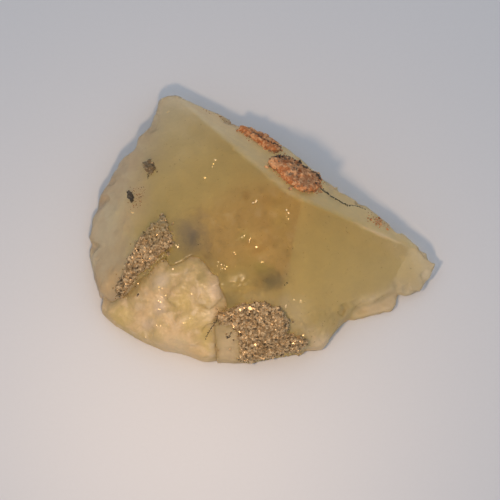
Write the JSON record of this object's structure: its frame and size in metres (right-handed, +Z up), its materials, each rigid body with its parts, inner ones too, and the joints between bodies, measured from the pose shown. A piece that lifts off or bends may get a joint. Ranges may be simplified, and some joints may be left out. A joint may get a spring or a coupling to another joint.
{
  "type": "fluorite and calcite specimen",
  "caption": "Broken hand specimen of yellow see-through fluorite grown with cream calcite, brassy sulfide druses and rusty iron crusts, lying on its flat broken base.",
  "frame": {"origin": "on the floor, under the middle of the specimen's box", "axes": "+X along the length towards the thin tip, +Y towards the steep back face's edge, +Z up from the flat broken base"},
  "size_m": [0.0624, 0.05, 0.017],
  "materials": {
    "fluorite": "satin",
    "calcite": "satin",
    "sulfide": "satin",
    "iron_crust": "matte"
  },
  "bodies": {
    "root": {"fluorite": "fluorite", "calcite": "calcite", "sulfide_druse_left": "sulfide", "sulfide_druse_front": "sulfide", "sulfide_spot_upper": "sulfide", "sulfide_spot_lower": "sulfide", "iron_crust_main": "iron_crust", "iron_crust_upper": "iron_crust", "iron_crust_lower": "iron_crust"}
  },
  "joints": []
}
